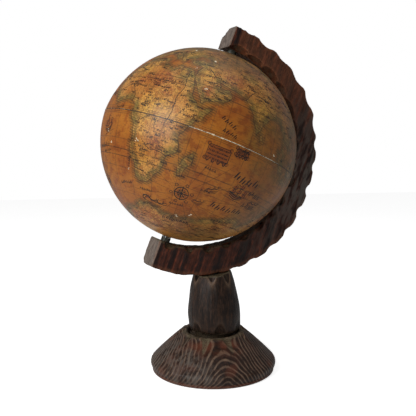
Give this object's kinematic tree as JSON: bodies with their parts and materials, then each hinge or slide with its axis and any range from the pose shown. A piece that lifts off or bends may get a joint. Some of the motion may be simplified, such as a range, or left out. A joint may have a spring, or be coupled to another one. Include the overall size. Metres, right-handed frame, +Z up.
{
  "type": "desktop globe on stand",
  "caption": "Antique-style terrestrial globe that turns on a tilted steel rod held by a gouge-carved C-shaped wooden arm, on a carved stem and a turned round base.",
  "frame": {"origin": "centre of the base's underside, in the plane of the table", "axes": "+Z up; +X towards the side on which the arm bows out, which is where the north pole leans; the arm lies in the XZ plane"},
  "size_m": [0.2292, 0.2, 0.3557],
  "materials": {
    "dark_stained_softwood": "worn satin stain over raised grain",
    "dark_stained_wood": "worn satin stain",
    "red_brown_stained_wood": "worn satin stain, brushed grain",
    "plain_wood": "unfinished",
    "green_felt": "matte felt",
    "steel": "plain",
    "darkened_metal": "dark greenish black, dull",
    "varnished_map_paper": "aged varnish, satin to gloss",
    "chalk_ground": "matte plaster",
    "papier_mache": "matte",
    "grey_card": "matte"
  },
  "bodies": {
    "stand": {"base": "dark_stained_softwood", "base_felt": "green_felt", "base_washer": "steel", "base_screw": "steel", "stem": "dark_stained_wood", "arm_dowels": "plain_wood", "meridian_arm": "red_brown_stained_wood", "axle_rod": "steel", "axle_plug": "red_brown_stained_wood", "upper_spacer": "darkened_metal", "lower_spacer": "darkened_metal"},
    "globe": {"equator_band": "grey_card", "hemisphere_north": "papier_mache", "hemisphere_south": "papier_mache", "gesso_north": "chalk_ground", "gesso_south": "chalk_ground", "map_gores_north": "varnished_map_paper", "map_gores_south": "varnished_map_paper", "polar_calotte_north": "varnished_map_paper", "polar_calotte_south": "varnished_map_paper", "pole_block_north": "plain_wood", "pole_block_south": "plain_wood", "pole_bush_north": "darkened_metal", "pole_bush_south": "darkened_metal"}
  },
  "joints": [
    {"name": "globe_spin", "type": "hinge", "parent": "stand", "child": "globe", "pos_m": [-0.016, 0, 0.2335], "axis": [0.3502, 0, 0.9367], "continuous": true}
  ]
}
